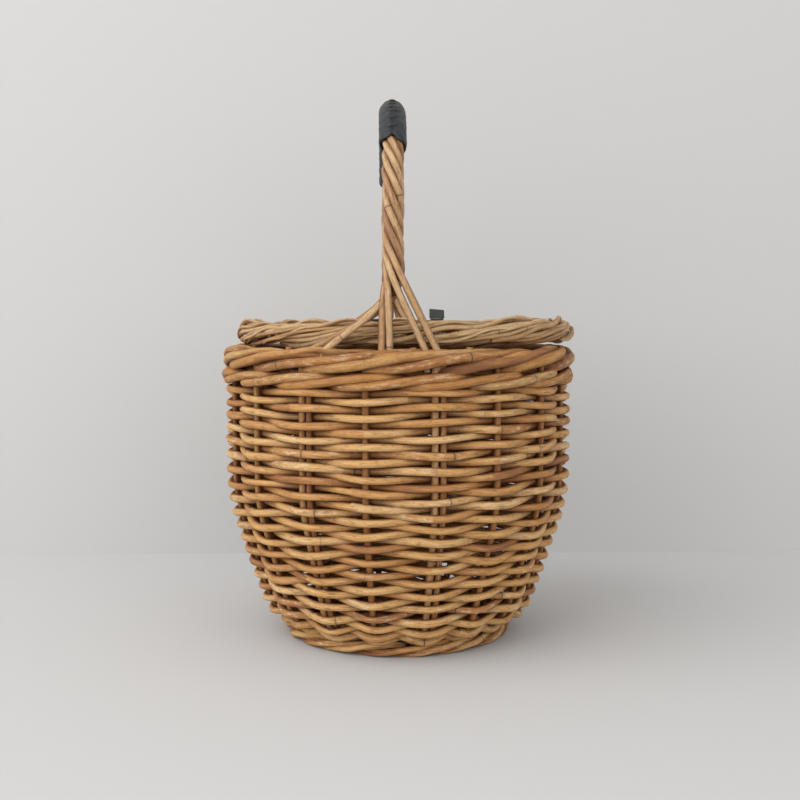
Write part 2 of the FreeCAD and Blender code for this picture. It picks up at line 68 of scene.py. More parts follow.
def bent_line(corners, bends, step=0.001):
    """Points a step apart on straight runs that are joined by arcs."""
    corners = [np.asarray(corner, float) for corner in corners]
    points = [corners[0]]
    for before, corner, after, bend in zip(corners, corners[1:], corners[2:], bends):
        into = (corner - before) / np.linalg.norm(corner - before)
        out = (after - corner) / np.linalg.norm(after - corner)
        turn = math.acos(max(-1.0, min(1.0, float(into @ out))))
        if turn < 1e-4:
            continue
        reach = bend * math.tan(turn / 2)
        middle = corner + (out - into) / np.linalg.norm(out - into) * bend / math.cos(turn / 2)
        start, end = corner - into * reach - middle, corner + out * reach - middle
        for share in np.linspace(0, 1, max(3, int(bend * turn / step))):
            weight = np.sin([(1 - share) * turn, share * turn]) / math.sin(turn)
            points.append(middle + weight[0] * start + weight[1] * end)
    points.append(corners[-1])
    return evenly(np.array(points), step)


def run_of(points):
    """Distance along a line at each of its points."""
    return np.concatenate([[0.0], np.cumsum(np.linalg.norm(np.diff(points, axis=0), axis=1))])


def evenly(points, step):
    run = run_of(points)
    places = np.linspace(0, run[-1], max(4, int(run[-1] / step)))
    return np.stack([np.interp(places, run, points[:, k]) for k in range(points.shape[1])], axis=1)


def around(turn, radius, height):
    """A place on the basket: turn goes from the near side towards +X, where the stakes stand a little wider."""
    turn, radius, height = np.broadcast_arrays(turn + 0.07 * np.sin(turn), radius, height)
    return np.stack([radius * np.sin(turn), -radius * np.cos(turn), height], axis=-1)


def turned(line, turn):
    """A line that lies flat, turned round the middle."""
    return line @ np.array([[math.cos(turn), math.sin(turn), 0], [-math.sin(turn), math.cos(turn), 0], [0, 0, 1]])


def lay_rod(
    heap, line, radius, lean=(0, 0, 1), tone=None, sides=8, step=0.0045, ends=("cut", "cut"), thin=1.0, deep=0.0,
    away=None,
):
    """Adds one rod to a heap of rods: rings of points round its line, closed at both ends.

    away is the direction that lies open at each point of the line. deep is painted shade along the rod, and more
    painted shade darkens the rod where it faces aside from away.
    """
    run = run_of(line)
    length = run[-1]
    first = chance.uniform(0, NODE_SPACING)
    tone = float(np.clip(chance.normal(0.52, 0.24) if tone is None else tone, 0, 1))
    places = list(np.linspace(0, length, max(4, int(length / step))))
    nodes = np.arange(math.floor(first / NODE_SPACING), (first + length) / NODE_SPACING) * NODE_SPACING
    nodes = nodes + NODE_SPACING / 2 - first
    for node in nodes:
        places += [node + shift for shift in (-0.002, -0.0008, 0.0, 0.0008, 0.002)]
    taper = {"cut": radius * 0.25, "point": min(0.011, length / 4)}
    for end, place, sign in ((ends[0], 0.0, 1), (ends[1], length, -1)):
        places += [place + sign * taper[end] * share for share in (0.12, 0.3, 0.6, 1.0)]
    places = np.unique(np.round([p for p in places if 0 <= p <= length], 6))
    keep = np.concatenate([[True], np.diff(places) > 0.00012])
    places = places[keep]
    thick = radius * (1 + (thin - 1) * places / length)
    thick = thick * (1 + 0.035 * np.sin(places * 61 + tone * 40) + 0.02 * np.sin(places * 173 + tone * 90))
    for node in nodes:
        thick = thick * (1 + 0.075 * np.exp(-(((places - node) / 0.0011) ** 2)))
    for end, gap in ((ends[0], places), (ends[1], length - places)):
        share = np.clip(gap / taper[end], 0, 1)
        low = 0.72 if end == "cut" else 0.22
        thick = thick * (low + (1 - low) * np.sqrt(1 - (1 - share) ** 2))
    middle = np.stack([np.interp(places, run, line[:, k]) for k in range(3)], axis=1)
    along = np.gradient(middle, axis=0)
    along /= np.linalg.norm(along, axis=1)[:, None]
    lean = np.asarray(lean, float)
    if lean.ndim == 2:
        lean = np.stack([np.interp(places, run, lean[:, k]) for k in range(3)], axis=1)
    across = lean - (lean * along).sum(axis=1)[:, None] * along
    across /= np.linalg.norm(across, axis=1)[:, None]
    square = np.cross(along, across)
    turns = np.arange(sides) * 2 * math.pi / sides
    rings = len(places)
    spread = np.cos(turns)[None, :, None] * across[:, None] + np.sin(turns)[None, :, None] * square[:, None]
    grain = np.zeros((rings, sides, 3))
    grain[..., 0] = np.cos(turns)
    grain[..., 1] = np.sin(turns)
    grain[..., 2] = (places + first)[:, None]
    # painted shade along the rod, from deep
    painted_shade = np.interp(places, run, deep) if np.ndim(deep) else np.full(rings, deep)
    if away is None:
        away = line * [1, 1, 0] + [0, 1e-6, 0]
    away = np.stack([np.interp(places, run, away[:, k]) for k in range(3)], axis=1)
    away /= np.linalg.norm(away, axis=1)[:, None]
    facing = np.abs((spread * away[:, None]).sum(axis=-1))
    blend = np.zeros((rings, sides, 3))
    blend[..., 0] = tone
    blend[..., 1] = chance.uniform(0, 1)
    # third blend value: painted shade, from deep plus the sides that face aside from the open direction
    blend[..., 2] = np.clip(painted_shade[:, None] + 0.9 * (1 - facing) ** 1.6, 0, 1)
    heap.append({
        "points": (middle[:, None] + spread * thick[:, None, None]).reshape(-1, 3),
        "grain": grain.reshape(-1, 3),
        "blend": blend.reshape(-1, 3),
        "rings": rings,
        "sides": sides,
        "places": places,
        "radius": radius,
    })


def rods_piece(name, heap, material, body, replaced):
    """One mesh from a heap of rods, with a strip of its UV map for each rod."""
    starts = np.cumsum([0] + [len(rod["points"]) for rod in heap])
    faces, flat, corners = [], [], []
    spare = 0.0012
    area = sum((rod["places"][-1] + 6 * rod["radius"]) * (2 * math.pi * rod["radius"] + spare) for rod in heap)
    wide = max(math.sqrt(area) * 1.04, max(rod["places"][-1] + 5 * rod["radius"] for rod in heap))
    left, low, high = 0.0, 0.0, 0.0
    for rod, start in zip(heap, starts):
        rings, sides = rod["rings"], rod["sides"]
        girth = 2 * math.pi * rod["radius"]
        need = rod["places"][-1] + 4 * rod["radius"] + 4 * spare
        if left + need > wide and left > 0:
            left, low, high = 0.0, low + high, 0.0
        high = max(high, girth + spare)
        index = start + np.arange(rings * sides).reshape(rings, sides)
        after = np.roll(index, -1, axis=1)
        quads = np.stack([index[:-1], after[:-1], after[1:], index[1:]], axis=-1).reshape(-1, 4)
        faces += quads.tolist()
        flat += [True] * len(quads)
        span = left + 2 * rod["radius"] + spare + rod["places"]
        rise = low + girth * np.arange(sides + 1) / sides
        u = np.stack([span[:-1], span[:-1], span[1:], span[1:]], axis=-1)[:, None, :].repeat(sides, axis=1)
        v = np.stack([rise[:-1], rise[1:], rise[1:], rise[:-1]], axis=-1)[None].repeat(rings - 1, axis=0)
        corners.append(np.stack([u.reshape(-1), v.reshape(-1)], axis=-1))
        turns = np.arange(sides) * 2 * math.pi / sides
        disc = rod["radius"] * 0.85 * np.stack([np.cos(turns), np.sin(turns)], axis=-1)
        caps = ((index[0], -1, left + rod["radius"]), (index[-1], 1, left + need - rod["radius"] - spare))
        for ring, spin, place in caps:
            faces.append(ring[::spin].tolist())
            flat.append(False)
            corners.append(disc[::spin] + [place, low + rod["radius"]])
        left += need
    tall = low + high
    mesh = bpy.data.meshes.new(name)
    mesh.from_pydata(np.concatenate([rod["points"] for rod in heap]), [], faces)
    mesh.polygons.foreach_set("use_smooth", flat)
    for key in ("grain", "blend"):
        layer = mesh.attributes.new(key, "FLOAT_VECTOR", "POINT")
        layer.data.foreach_set("vector", np.concatenate([rod[key] for rod in heap]).astype(np.float32).ravel())
    chart = mesh.uv_layers.new(name="OFBake")
    places = np.concatenate(corners) / max(wide, tall)
    chart.data.foreach_set("uv", places.astype(np.float32).ravel())
    mesh.materials.append(material)
    mesh.update()
    piece = bpy.data.objects.new(name, mesh)
    bpy.context.scene.collection.objects.link(piece)
    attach(piece, body)
    if replaced:
        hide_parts(*replaced)
    return piece


class Socket:
    """A shader socket that is used like a number; node() adds any other node behind it."""

    def __init__(self, tree, out):
        self.tree = tree
        self.out = out

    def node(self, kind, settings, values, out=0):
        made = self.tree.nodes.new(kind)
        for key, value in settings.items():
            if key == "stops":
                ramp = made.color_ramp
                for stop, (place, colour) in zip((ramp.elements[0], ramp.elements[1]), (value[0], value[-1])):
                    stop.position = place
                    stop.color = (*colour, 1)
                for place, colour in value[1:-1]:
                    ramp.elements.new(place).color = (*colour, 1)
            else:
                setattr(made, key, value)
        for key, value in values.items():
            if isinstance(value, Socket):
                self.tree.links.new(value.out, made.inputs[key])
            else:
                made.inputs[key].default_value = value
        return Socket(self.tree, made.outputs[out])

    def maths(self, operation, *values):
        return self.node("ShaderNodeMath", {"operation": operation}, dict(enumerate(values)))

    def __add__(self, other):
        return self.maths("ADD", self, other)

    def __radd__(self, other):
        return self.maths("ADD", other, self)

    def __sub__(self, other):
        return self.maths("SUBTRACT", self, other)

    def __rsub__(self, other):
        return self.maths("SUBTRACT", other, self)

    def __mul__(self, other):
        return self.maths("MULTIPLY", self, other)

    def __rmul__(self, other):
        return self.maths("MULTIPLY", other, self)

    def __truediv__(self, other):
        return self.maths("DIVIDE", self, other)

    def between(self, low, high, start=0.0, end=1.0):
        """Goes smoothly from start to end as the value goes from low to high."""
        values = {0: self, 1: low, 2: high, 3: start, 4: end}
        return self.node("ShaderNodeMapRange", {"interpolation_type": "SMOOTHSTEP"}, values)

    def choose(self, low, high, way="MIX"):
        """A colour between two others, at this value as the factor."""
        settings = {"data_type": "RGBA", "blend_type": way}
        low, high = (c if isinstance(c, Socket) else (*c, 1) for c in (low, high))
        return self.node("ShaderNodeMix", settings, {0: self, 6: low, 7: high}, 2)

    def split(self):
        made = self.node("ShaderNodeSeparateXYZ", {}, {0: self})
        return [Socket(self.tree, made.out.node.outputs[k]) for k in range(3)]

    def joined(self, x, y, z):
        return self.node("ShaderNodeCombineXYZ", {}, {0: x, 1: y, 2: z})

    def cloud(self, place, scale, detail=3.0, rough=0.55):
        values = {"Vector": place, "Scale": scale, "Detail": detail, "Roughness": rough}
        return self.node("ShaderNodeTexNoise", {}, values)


def wicker(name, tones, blush, flaky=0.5, rings=0.8, wear=0.6):
    """Peeled rod: streaks along it, blotches, pale flakes, dark node rings, and painted shade where it is tucked in.
    """
    material = bpy.data.materials.new(name)
    material.use_nodes = True
    tree = material.node_tree
    shader = tree.nodes["Principled BSDF"]
    start = Socket(tree, None)
    gx, gy, gz = start.node("ShaderNodeAttribute", {"attribute_name": "grain"}, {}, 1).split()
    # deep, the third blend value, is the amount of painted shade
    tone, mood, deep = start.node("ShaderNodeAttribute", {"attribute_name": "blend"}, {}, 1).split()
    shift = mood * 43.0 + tone * 17.0
    fine = start.cloud(start.joined(gx * 3.2 + shift, gy * 3.2, gz * 95.0), 1.0, 4.0, 0.6)
    broad = start.cloud(start.joined(gx * 0.7 + shift, gy * 0.7, gz * 38.0), 1.0, 3.0, 0.5)
    patch = start.cloud(start.joined(gx * 1.4 - shift, gy * 1.4, gz * 140.0), 1.0, 5.0, 0.65)
    speck = start.cloud(start.joined(gx * 6.0 - shift, gy * 6.0, gz * 900.0), 1.0, 2.0, 0.5)
    along = tone * 0.62 + broad * 0.7 + mood * 0.1 - 0.22
    colour = along.node("ShaderNodeValToRGB", {"stops": tones}, {0: along})
    colour = (broad.between(0.5, 0.72) * mood.between(0.25, 0.95) * 0.7).choose(colour, blush)
    colour = fine.between(0.34, 0.7, 0.0, 0.75).choose(colour, (0.66, 0.5, 0.33), "MULTIPLY")
    flake = patch.between(0.55, 0.60) * mood.between(0.5, 0.8)
    colour = (flake * flaky).choose(colour, (0.76, 0.63, 0.44))
    colour = (patch.between(0.44, 0.36) * wear).choose(colour, (0.20, 0.105, 0.05))
    colour = (speck.between(0.63, 0.69) * 0.7).choose(colour, (0.10, 0.05, 0.025))
    beat = start.maths("FRACT", gz / NODE_SPACING)
    off = start.maths("ABSOLUTE", beat - 0.5) * NODE_SPACING
    wobble = (fine - 0.5) * 0.0006
    ring = (off + wobble).between(0.0007, 0.0002)
    seen = mood.between(0.5, 0.9)
    halo = (off + wobble).between(0.0042, 0.0006) * 0.3
    colour = (halo * seen).choose(colour, (0.30, 0.16, 0.075))
    colour = (ring * seen * rings).choose(colour, (0.07, 0.033, 0.016))
    # painted shade: the colour is multiplied towards a dark red-brown where deep is high
    colour = (deep * 0.97).choose(colour, (0.21, 0.06, 0.010), "MULTIPLY")
    rough = 0.42 + broad * 0.14 + fine * 0.14 + flake * 0.15 + deep * 0.3
    height = fine * 0.6 + flake * 0.4 + patch.between(0.44, 0.36) * -0.3 - ring * 0.9
    bump = start.node("ShaderNodeBump", {}, {"Strength": 0.5, "Distance": 0.00028, "Height": height})
    tree.links.new(colour.out, shader.inputs["Base Color"])
    tree.links.new(rough.out, shader.inputs["Roughness"])
    tree.links.new(bump.out, shader.inputs["Normal"])
    shader.inputs["Specular IOR Level"].default_value = 0.32
    return material


HONEY = [
    (0.0, (0.25, 0.105, 0.04)),
    (0.22, (0.46, 0.22, 0.075)),
    (0.45, (0.61, 0.345, 0.125)),
    (0.7, (0.69, 0.44, 0.185)),
    (1.0, (0.77, 0.57, 0.32)),
]
wall_wicker = wicker("wall_wicker", HONEY, (0.37, 0.150, 0.055), flaky=0.5)
stick_heap = []
for count, level, heading in ((4, -1, 90.0), (5, 1, 0.0)):
    for k in range(count):
        ray = math.radians(20 * (k - (count - 1) / 2))
        side = 0.0054 * (k - (count - 1) / 2)
        knee = abs(side / math.tan(ray)) if ray else 0.012
        far = (STICK_REACH * math.cos(ray), STICK_REACH * math.sin(ray))
        corners = [(-far[0], far[1], 0), (-knee, side, 0), (knee, side, 0), (far[0], far[1], 0)]
        line = bent_line(corners, [0.012, 0.012])
        across = turned(line, math.radians(heading - 8))
        lift = np.clip((0.034 - np.hypot(across[:, 0], across[:, 1])) / 0.012, 0, 1)
        across[:, 2] = BASE_LEVEL + level * 0.0026 * lift * lift * (3 - 2 * lift)
        lay_rod(stick_heap, across, STICK, sides=10)
base_nodes = [f"base_stick_{k}" for k in range(1, 10)]
rods_piece("base_sticks", stick_heap, wall_wicker, "basket", base_nodes)

# ---- Side stakes
# Eighteen thicker rods are pushed into the base beside the sticks, bent up and woven round.
# Four of them have a second rod pushed in beside them, next to the handle's outer feet.

wall_corners = [(0.022, BASE_LEVEL), (0.0875, BASE_LEVEL), (WALL_RADIUS, 0.1038), (WALL_RADIUS, 0.2)]
wall_line = bent_line(wall_corners, [0.03, 0.1])
wall_run = run_of(wall_line)
stake_heap = []
stake_turns = [STAKE_AT + RAY_STEP * k for k in range(18)]
for k, turn in enumerate(stake_turns):
    bend = wall_line[(wall_line[:, 0] > 0.042) & (wall_line[:, 1] < 0.197)]
    line = around(turn, bend[:, 0], bend[:, 1])
    # deep=0.35: painted shade all along the stakes
    lay_rod(stake_heap, line, STICK, lean=(math.cos(turn), math.sin(turn), 0), sides=10, deep=0.35)
DOUBLED = (1, 9, 11, 17)
for turn in [stake_turns[k] for k in DOUBLED]:
    bend = wall_line[(wall_line[:, 1] > 0.02) & (wall_line[:, 1] < 0.197)]
    line = around(turn + 0.0050 / bend[:, 0], bend[:, 0], bend[:, 1])
    lean = (math.cos(turn), math.sin(turn), 0)
    # deep=0.25: painted shade all along the second rods
    lay_rod(stake_heap, line, 0.0023, lean=lean, tone=0.05, ends=("point", "cut"), deep=0.25)
stake_nodes = [f"side_stake_{k:02d}" for k in range(1, 19)]
rods_piece("side_stakes", stake_heap, wall_wicker, "basket", stake_nodes)

# ---- Woven base and wall
# Thinner rods go in front of one stake and behind the next, and the next row goes the other way.
# Most rods start and end on the inside, behind a stake, where a new one takes over; some start and end on the outside.


def spot_on_wall(run, out):
    """Radius and height at a distance along the wall's middle line and a distance out from it."""
    radius = np.interp(run, wall_run, wall_line[:, 0])
    height = np.interp(run, wall_run, wall_line[:, 1])
    ahead = np.interp(run + 0.001, wall_run, wall_line[:, 0]), np.interp(run + 0.001, wall_run, wall_line[:, 1])
    back = np.interp(run - 0.001, wall_run, wall_line[:, 0]), np.interp(run - 0.001, wall_run, wall_line[:, 1])
    steep = np.hypot(ahead[0] - back[0], ahead[1] - back[1])
    return radius + out * (ahead[1] - back[1]) / steep, height - out * (ahead[0] - back[0]) / steep


def zigzag(turn):
    """1 at the even stakes and -1 at the odd ones, straight in between, and level across a doubled stake."""
    knots, levels = [], []
    for k in range(19):
        knots += [k * RAY_STEP, k * RAY_STEP + (0.046 if k in DOUBLED else 0.004)]
        levels += [(-1) ** k] * 2
    near = [(turn - STAKE_AT + shift) % (2 * math.pi) for shift in (-0.05, -0.025, 0.0, 0.025, 0.05)]
    return sum(np.interp(place, knots, levels) for place in near) / 5


def weave_row(heap, run, rod, reach, front, floats, side, slack=0.0003):
    """One row right round the basket. floats are the numbers of stakes that its rods pass before they end."""
    swing = chance.uniform(0, 2 * math.pi, 6)
    shown = chance.uniform(0, 1) < 0.35
    at = int(chance.integers(0, 9)) * 2 + (1 if front == shown else 0)
    lap = 0.02 if shown else 0.20
    passed = 0
    while passed < 18:
        count = min(int(chance.choice(floats)), 18 - passed)
        first = STAKE_AT + RAY_STEP * (at + passed - lap)
        turn = np.linspace(first, first + RAY_STEP * (count + 2 * lap), int(60 * (count + 1)))
        wave = side(turn) * (1 if front else -1)
        firm = 1 + 0.07 * np.sin(4.5 * turn + swing[0]) * np.sin(2 * turn + swing[1])
        sway = 0.0010 * np.sin(3 * turn + 60 * run) + 0.0007 * np.sin(5 * turn - 95 * run + 1.3)
        sway = sway + 0.0005 * np.sin(11 * turn + 140 * run + 0.4)
        loose = np.sin(3 * turn + swing[2]) + np.sin(7 * turn + swing[3]) + 0.6 * np.sin(13 * turn + swing[4])
        sway = sway + slack * loose
        edge = np.minimum(turn - turn[0], turn[-1] - turn) / (0.3 * RAY_STEP)
        tuck = -0.0010 * np.clip(1 - edge, 0, 1) ** 2
        radius, height = spot_on_wall(run + sway, reach * wave * firm + tuck)
        line = around(turn, radius, height)
        # painted shade, strongest where the rod passes behind a stake
        deep = np.clip(0.22 - 0.5 * wave, 0, 0.7)
        tone = chance.normal(0.15, 0.15) if chance.uniform(0, 1) < 0.9 - run * 12 else None
        size = rod * chance.uniform(0.90, 1.10)
        lay_rod(heap, line, size, tone=tone, thin=chance.uniform(0.86, 1.0), deep=deep)
        passed += count


def flat_wave(turn):
    """Level over a stick and the stake beside it."""
    wave = np.cos(9 * (turn - STAKE_AT + STICK_BESIDE / 2))
    return np.sign(wave) * np.abs(wave) ** 0.5


base_heap = []
run = 0.0015
front = True
while wall_line[np.searchsorted(wall_run, run), 0] < 0.0655:
    radius = float(np.interp(run, wall_run, wall_line[:, 0]))
    rod = 0.0015 + 0.0009 * min(1.0, max(0.0, (radius - 0.024) / 0.03))
    weave_row(base_heap, run, rod, STICK + rod, front, (6, 8, 10), flat_wave, slack=0.0001)
    front = not front
    run += rod * 1.82
rods_piece("base_weave_rods", base_heap, wall_wicker, "basket", ["base_weave"])

row_pitch = 0.00477
row_count = int((np.interp(0.1795, wall_line[:, 1], wall_run) - run) / row_pitch)
bands = {"lower": [], "upper": []}
for row in range(row_count + 1):
    heap = bands["lower" if row < row_count / 2 else "upper"]
    weave_row(heap, run, ROD, STICK + ROD, front, (4, 6, 8, 10), zigzag)
    front = not front
    run += row_pitch
rods_piece("lower_weave_rods", bands["lower"], wall_wicker, "basket", ["upsett_wale"])
rods_piece("upper_weave_rods", bands["upper"], wall_wicker, "basket", ["side_weave"])

# ---- Top wale
# Three rods are worked together above the side weave. Each goes in front of two stakes and behind one,
# rising over the next as it comes out, so the band twists like a rope round the stakes.

RUSSET = [
    (0.0, (0.15, 0.068, 0.032)),
    (0.25, (0.31, 0.140, 0.055)),
    (0.5, (0.46, 0.225, 0.065)),
    (0.75, (0.53, 0.315, 0.115)),
    (1.0, (0.68, 0.50, 0.285)),
]
border_wicker = wicker("border_wicker", RUSSET, (0.36, 0.165, 0.075), flaky=0.32)
wale_heap = []
for strand in range(3):
    begin = STAKE_AT + RAY_STEP * (strand + 0.5 - 1.5)
    for piece in range(3):
        first = begin + piece * 2 * math.pi / 3 - 0.05
        last = begin + (piece + 1) * 2 * math.pi / 3 + 0.05
        turn = np.linspace(first, last, 260)
        phase = 6 * (turn - begin) - math.pi
        bow = np.tanh(2.4 * (np.cos(phase) + 0.35)) / 0.965
        line = around(turn, WALL_RADIUS + (STICK + 0.0029) * bow, 0.1866 + 0.0030 * np.sin(phase))
        # painted shade where a wale rod passes behind a stake
        deep = np.clip(0.35 - 0.6 * bow, 0, 1)
        lay_rod(wale_heap, line, 0.0031 * chance.uniform(0.95, 1.05), thin=0.94, deep=deep)
rods_piece("top_wale_rods", wale_heap, border_wicker, "basket", ["top_wale"])

# ---- Rim border
# Each stake's thick border rod starts low on the outside, slopes up over the rim and is tucked down inside.
# Four lie over each other all round, like a rope, and the handle's feet stand in them.


def roll_border(
    heap, count, span, middle, half, lift, rod, angles, tones, begin, squeeze=(1.0, 1.0), sides=10, rough=0.05
):
    """Sloping rods rolled over a ring: middle and height of its section, its half width and half height."""
    for k in range(count):
        turn = np.linspace(0, span * chance.uniform(0.94 - rough, 1.06 + rough), 120)
        share = turn / turn[-1]
        lean = np.radians(angles[0] + (angles[1] - angles[0]) * share ** 0.92)
        loose = 1 + rough * np.sin(share * 9 + k * 2.1) + rough * chance.uniform(-0.6, 1.0)
        turn = turn + begin + k * 2 * math.pi / count + chance.uniform(-0.02, 0.02)
        out = middle[0] + half * np.cos(lean) * loose
        shake = rough * 0.0055 * np.sin(share * chance.uniform(14, 26) + chance.uniform(0, 6))
        line = around(turn, out, middle[1] + lift * np.sin(lean) * loose + shake)
        line[:, 0] *= squeeze[0]
        line[:, 1] *= squeeze[1]
        # painted shade on the inner and lower part of each rolled rod; away points out of the ring's section, so the
        # sides facing aside get more painted shade
        deep = np.clip(0.15 - 0.3 * np.cos(lean) - 0.2 * np.sin(lean), 0, 0.7)
        away = around(turn, np.cos(lean) * lift, np.sin(lean) * half)
        size = rod * chance.uniform(0.94 - rough, 1.06 + rough)
        ends = ("cut", "point") if chance.uniform(0, 1) < 2 * rough else ("point", "point")
        tone = chance.uniform(*tones)
        lay_rod(heap, line, size, tone=tone, sides=sides, ends=ends, deep=deep, away=away)


rim_heap = []
rim_ring = (0.1163, 0.1982)
for count, span, half, lift, rod, angles, tones, rough in (
    (18, math.radians(92), 0.0060, 0.0053, 0.0036, (-66, 205), (0.0, 1.0), 0.09),
    (9, math.radians(56), 0.0046, 0.0062, 0.0026, (10, 150), (0.0, 0.7), 0.12),
):
    roll_border(rim_heap, count, span, rim_ring, half, lift, rod, angles, tones, STAKE_AT, rough=rough)
# three rods round the inside of the rim, with painted shade (deep=0.5)
for begin in (0.3, 2.4, 4.5):
    turn = np.linspace(begin, begin + 2.2, 160)
    line = around(turn, 0.1128 + 0.0006 * np.sin(9 * turn), 0.1916)
    lay_rod(rim_heap, line, 0.0031, tone=0.3, deep=0.5)
for turn, lean_over in ((-0.09, 0.2), (0.07, -0.3), (0.36, 0.3), (-0.62, 0.1), (2.6, 0.2), (3.5, -0.2)):
    foot = around(turn, 0.1150, 0.1980)
    tip = around(turn + 0.02 * lean_over, 0.1157, 0.2082)
    lay_rod(rim_heap, bent_line([foot, (foot + tip) / 2, tip], [0.1]), 0.0026, lean=(1, 0.1, 0), tone=0.3)
rods_piece("rim_border_rods", rim_heap, border_wicker, "basket", ["rim_border"])

# ---- Foot border
# The stakes' lower ends are turned round each other under the corner of the base as a ring to stand on.

foot_heap = []
foot_ring = (0.0752, 0.0052)
roll_border(
    foot_heap, 18, math.radians(58), foot_ring, 0.0040, 0.0027, 0.0024, (-150, 120), (0.1, 0.9), STAKE_AT
)
rods_piece("foot_border_rods", foot_heap, wall_wicker, "basket", ["foot_border"])

# ---- Handle
# Six long rods are twisted round a core into a rope. Each end of the rope opens into three pairs of feet,
# which are pushed down between the border rods into the wall.

STRAW_BROWN = [
    (0.0, (0.30, 0.155, 0.08)),
    (0.25, (0.44, 0.25, 0.125)),
    (0.5, (0.56, 0.36, 0.19)),
    (0.75, (0.63, 0.44, 0.25)),
    (1.0, (0.72, 0.56, 0.36)),
]
handle_wicker = wicker("handle_wicker", STRAW_BROWN, (0.46, 0.22, 0.11), flaky=0.35)
STRAND = 0.0023
KNEE = 0.240
LEG = 0.1195
HANDLE_X = -0.0045
half_bow = [(HANDLE_X, -LEG, KNEE), (HANDLE_X, -LEG, 0.3335), (HANDLE_X, -0.0598, 0.3645)]
bow = bent_line(half_bow + [(x, -y, z) for x, y, z in reversed(half_bow)], [0.064, 0.120, 0.120, 0.064])
bow_run = run_of(bow)
bow_along = np.gradient(bow, axis=0)
bow_along /= np.linalg.norm(bow_along, axis=1)[:, None]
bow_out = np.stack([np.zeros(len(bow)), -bow_along[:, 2], bow_along[:, 1]], axis=1)
TURNS = 6
near_feet = [-28.8, -23.6, -5.4, -3.0, 7.6, 11.0]
near_rises = [0.002, 0.003, 0.010, 0.012, 0.020, 0.023]
far_feet = [-3.1, -24.0, -28.8, -5.3, 4.2, 10.3]
far_rises = [0.004, 0.004, 0.008, 0.008, 0.004, 0.004]
strand_at = [176, 236, 296, 356, 56, 116]
strand_tones = [0.05, 0.75, 0.30, 0.70, 0.85, 0.62]


def foot_line(top, down, foot_deg, far):
    """A strand's way from the rope down into the rim, clear in front of the strands that leave lower."""
    turn = math.radians(foot_deg)
    foot = around(turn, WALL_RADIUS - 0.0005, 0.2045)
    if far:
        foot[1] = -foot[1]
    aim = foot - (top + down * 0.008)
    aim = aim / np.linalg.norm(aim)
    reach = np.linalg.norm(foot - top)
    clear = np.array([0, 0.004 if far else -0.004, 0]) * min(1, max(0, (reach - 0.045) / 0.02))
    hand = [top, top + down * min(0.012, reach * 0.3) + clear, foot - aim * reach * 0.5 + clear, foot]
    share = np.linspace(0, 1, 60)[1:, None]
    curve = (1 - share) ** 3 * hand[0] + 3 * (1 - share) ** 2 * share * hand[1]
    curve = curve + 3 * (1 - share) * share**2 * hand[2] + share**3 * hand[3]
    tail = foot + np.array([0, 0, -1]) * np.linspace(0.001, 0.012, 8)[:, None]
    return np.concatenate([curve, tail])


handle_heap = []
for k in range(6):
    spin = math.radians(strand_at[k]) - 2 * math.pi * TURNS * bow_run / bow_run[-1]
    orbit = 0.0046 * (1 + 0.05 * np.sin(bow_run * 70 + k))
    outward = np.cos(spin)[:, None] * bow_out + np.sin(spin)[:, None] * np.array([1.0, 0, 0])
    rope = bow + orbit[:, None] * outward
    rope = rope[np.searchsorted(bow_run, near_rises[k]):np.searchsorted(bow_run, bow_run[-1] - far_rises[k])]
    near_down = (rope[0] - rope[3]) / np.linalg.norm(rope[0] - rope[3])
    far_down = (rope[-1] - rope[-4]) / np.linalg.norm(rope[-1] - rope[-4])
    near = foot_line(rope[0], near_down, near_feet[k], False)[::-1]
    far = foot_line(rope[-1], far_down, far_feet[k], True)
    line = evenly(np.concatenate([near, rope, far]), 0.001)
    lean = np.tile([1.0, 0.02, 0.02], (len(line), 1))
    nearest = np.argmin(((line[:, None, 1:] - bow[None, ::4, 1:]) ** 2).sum(axis=-1), axis=1) * 4
    # away points out of the rope above the knees, so painted shade falls on the strands' sides that face the core and
    # each other
    away = np.where((line[:, 2] > KNEE + 0.02)[:, None], line - bow[nearest], line * [0.3, 1, 0])
    size = STRAND * chance.uniform(0.98, 1.07)
    lay_rod(handle_heap, line, size, lean=lean, tone=strand_tones[k], step=0.0035, deep=0.02, away=away)
# the core gets heavy painted shade (deep=0.9)
lay_rod(handle_heap, bow, 0.0027, lean=(1, 0, 0), tone=0.1, deep=0.9)
strand_nodes = ["handle_core"] + [f"handle_strand_{k}" for k in range(1, 7)]
rods_piece("handle_rods", handle_heap, handle_wicker, "basket", strand_nodes)

# ---- Handle sleeve
# A strip of thin black leather is wrapped round the rope over the crown and drawn together along the outside.
# The pull of each stitch puckers the leather into short creases beside the seam.

SLEEVE = 0.0088
HEM_THICK = 0.00105
HEM_DEEP = 0.004
STITCH_PITCH = 0.0085
sleeve_start = 0.0959
sleeve_end = bow_run[-1] - sleeve_start
places = np.concatenate([[sleeve_start], np.arange(sleeve_start + 0.0004, sleeve_end, 0.0009), [sleeve_end]])
sides = 48
turns = (np.arange(sides) / sides - 0.5) * 2 * math.pi
side_run = turns * SLEEVE
grid_run = places[:, None].repeat(sides, axis=1)
near_end = np.clip(1 - (grid_run - sleeve_start) / 0.014, 0, 1)
far_end = np.clip(1 - (sleeve_end - grid_run) / 0.014, 0, 1)
notch = 0.0030 * np.clip(1 - np.abs(side_run)[None] / 0.0040, 0, 1) - 0.0016 * np.sin(turns)[None]
grid_run = grid_run + notch * (near_end - far_end)
beat = np.cos(2 * math.pi * (grid_run + 0.45 * np.abs(side_run)[None]) / STITCH_PITCH)
pucker = 0.00030 * beat * np.exp(-((np.abs(side_run)[None] - 0.0030) / 0.0026) ** 2)
lips = 0.00028 * np.exp(-(((np.abs(side_run) - 0.0013) / 0.0007) ** 2))
